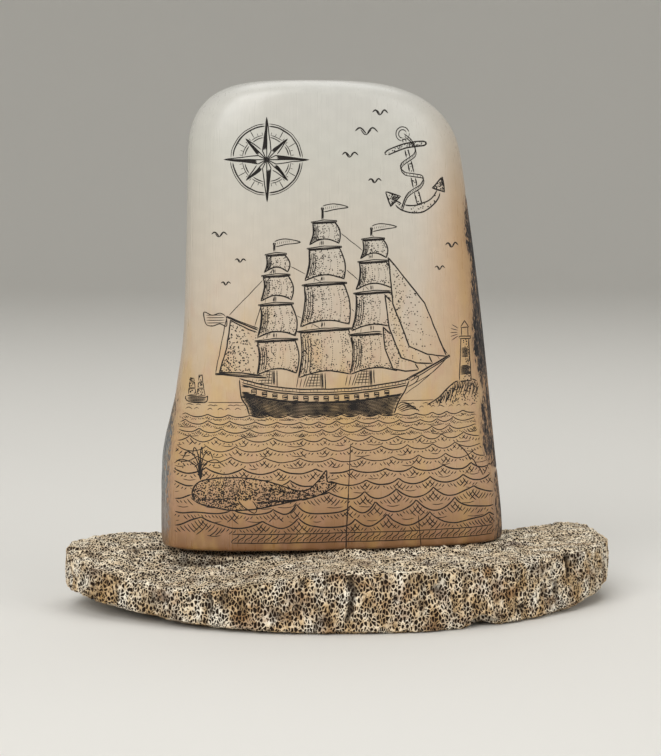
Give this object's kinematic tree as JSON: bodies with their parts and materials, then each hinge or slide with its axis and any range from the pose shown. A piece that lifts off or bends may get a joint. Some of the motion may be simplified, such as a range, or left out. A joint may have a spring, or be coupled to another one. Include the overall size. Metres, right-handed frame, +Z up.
{
  "type": "scrimshaw mammoth tusk",
  "caption": "Polished, engraved section of mammoth tusk standing upright on a slab of porous fossil whalebone, a shelf ornament.",
  "frame": {"origin": "middle of the object's box, at the level of the surface that the slab stands on", "axes": "+Z up; the engraved face of the tusk looks along -Y; +X is to the right of someone who looks at that face"},
  "size_m": [0.203, 0.0996, 0.19],
  "materials": {
    "mammoth_ivory": "satin",
    "whalebone": "matte"
  },
  "bodies": {
    "root": {"tusk": "mammoth_ivory", "whalebone_slab": "whalebone"}
  },
  "joints": []
}
